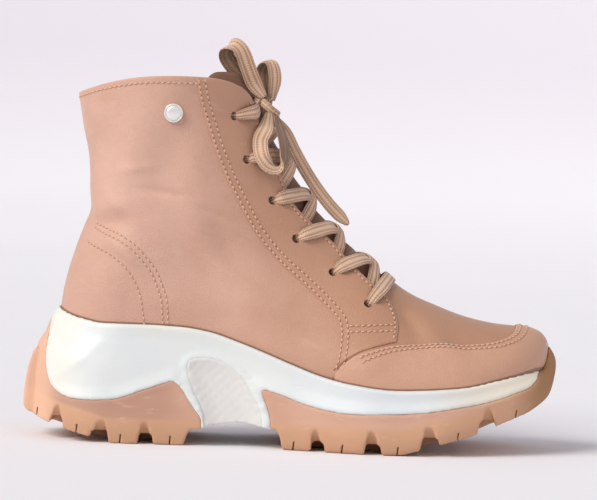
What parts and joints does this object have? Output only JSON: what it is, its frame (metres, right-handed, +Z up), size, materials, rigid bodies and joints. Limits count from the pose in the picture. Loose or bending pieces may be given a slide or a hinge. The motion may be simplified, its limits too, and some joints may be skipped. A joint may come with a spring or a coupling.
{
  "type": "ankle boot",
  "caption": "Lace-up ankle boot in smooth leather for the right foot, on a thick sculpted midsole with a lugged rubber outsole and an arch piece.",
  "frame": {"origin": "on the floor under the middle of the boot's length and breadth", "axes": "+X towards the toe, +Y towards the inner side of the foot, +Z up"},
  "size_m": [0.2797, 0.1036, 0.2107],
  "materials": {
    "leather": "smooth blush leather, low sheen",
    "rubber": "matt moulded rubber, blush",
    "midsole": "satin moulded foam, off-white",
    "arch": "satin moulded, pale grey-cream",
    "lining": "textile lining, brown-beige",
    "metal": "polished silver colour",
    "lace": "flat woven lace, ribbed lengthwise"
  },
  "bodies": {
    "root": {"outsole_heel": "rubber", "outsole_forefoot": "rubber", "midsole": "midsole", "arch_piece": "arch", "insole": "lining", "upper": "leather", "toe_guard": "leather", "facing_outer": "leather", "facing_inner": "leather", "tongue": "leather", "stud": "metal", "lace_bar": "lace", "lace_crossing_1": "lace", "lace_crossing_2": "lace", "lace_crossing_3": "lace", "lace_crossing_4": "lace", "lace_crossing_5": "lace", "lace_top": "lace", "lace_knot": "lace", "lace_loop_back": "lace", "lace_loop_top": "lace", "lace_loop_low": "lace", "lace_end_front": "lace"}
  },
  "joints": []
}
